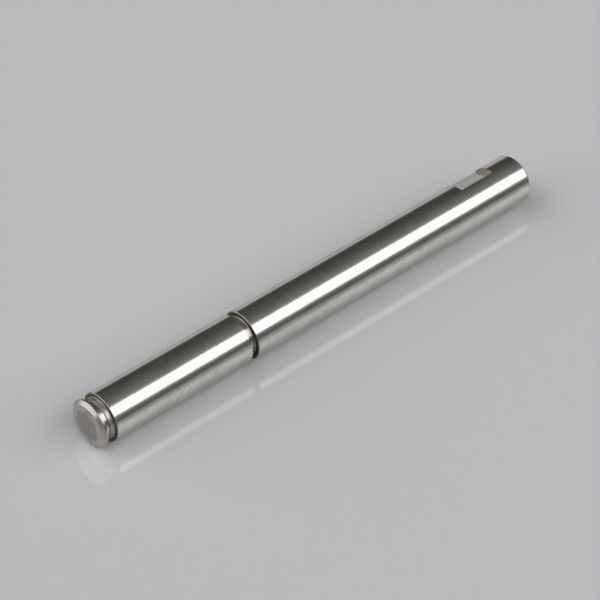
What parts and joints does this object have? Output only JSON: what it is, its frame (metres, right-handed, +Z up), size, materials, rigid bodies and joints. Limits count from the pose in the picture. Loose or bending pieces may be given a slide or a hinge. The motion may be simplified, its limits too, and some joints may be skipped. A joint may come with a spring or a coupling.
{
  "type": "stepped shaft",
  "caption": "Ground steel motor shaft with a blunt head, two retaining-ring grooves, a long shank and a short set-screw flat near its tail.",
  "frame": {"origin": "under the middle of the shaft's box, on the line where the shaft touches the surface it lies on", "axes": "+X along the shaft from its head to its tail, +Z up, the set-screw flat on the upper side leaning 31 degrees from straight up towards +Y"},
  "size_m": [0.054, 0.005, 0.005],
  "materials": {
    "ground_steel": "ground, fine circumferential lines, turned grooves and end face a little browner and duller"
  },
  "bodies": {
    "root": {"shaft": "ground_steel"}
  },
  "joints": []
}
